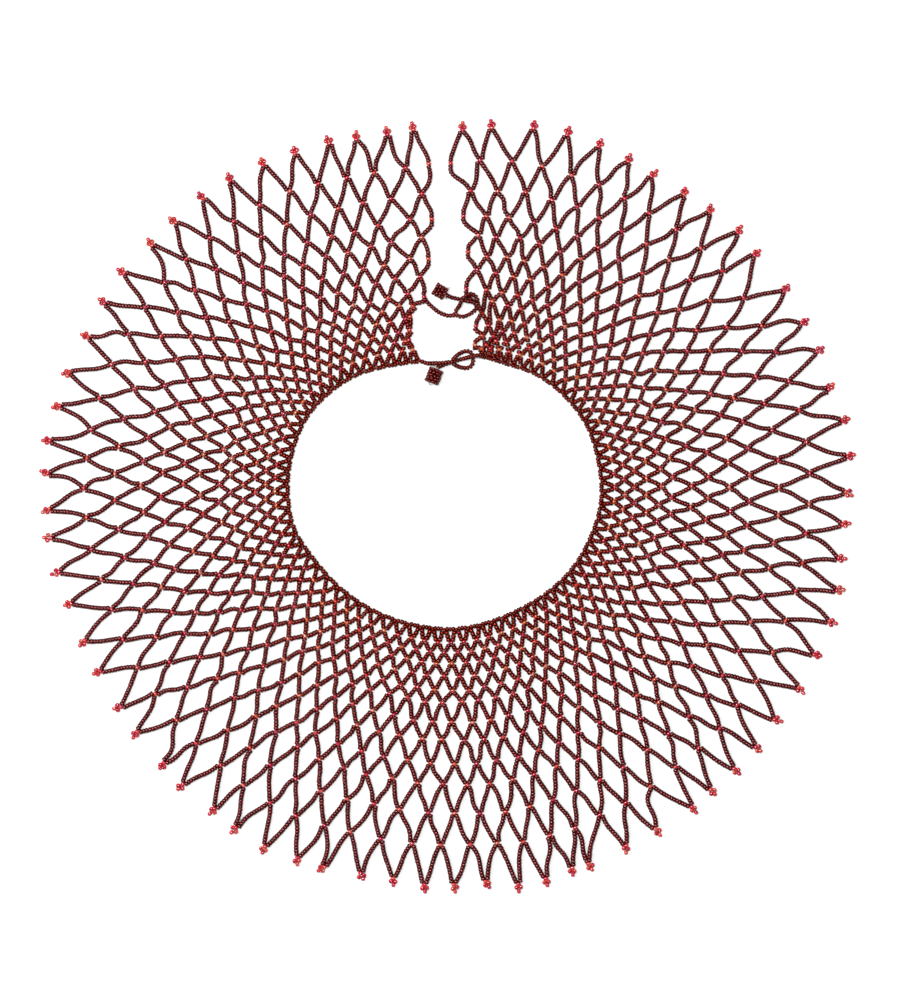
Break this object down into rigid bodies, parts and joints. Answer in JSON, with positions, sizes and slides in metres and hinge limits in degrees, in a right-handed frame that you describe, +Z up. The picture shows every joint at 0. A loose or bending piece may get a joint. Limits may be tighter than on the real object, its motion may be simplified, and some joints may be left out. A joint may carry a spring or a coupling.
{
  "type": "beaded collar",
  "caption": "Flat openwork collar of netted glass beads with picot points, an oval neck opening, a rope neckband and loop-and-toggle closures at the back.",
  "frame": {"origin": "on the surface it lies on, under the middle of the collar's outline", "axes": "+Z up from the surface, +Y towards the back opening with its closures, -Y towards the front of the collar, X across the shoulders"},
  "size_m": [0.3766, 0.358, 0.0068],
  "materials": {
    "net_beads": "glossy dark maroon glass seed beads, lighter translucent red at the crossings and picots",
    "neckband_beads": "glossy dark maroon glass seed beads",
    "closure_beads": "glossy dark maroon glass seed beads"
  },
  "bodies": {
    "root": {"net_01": "net_beads", "net_02": "net_beads", "net_03": "net_beads", "net_04": "net_beads", "net_05": "net_beads", "net_06": "net_beads", "net_07": "net_beads", "net_08": "net_beads", "net_09": "net_beads", "net_10": "net_beads", "net_11": "net_beads", "net_12": "net_beads", "neckband": "neckband_beads", "loop_upper": "closure_beads", "stem_upper": "closure_beads", "toggle_upper": "closure_beads", "loop_lower": "closure_beads", "stem_lower": "closure_beads", "toggle_lower": "closure_beads"}
  },
  "joints": []
}
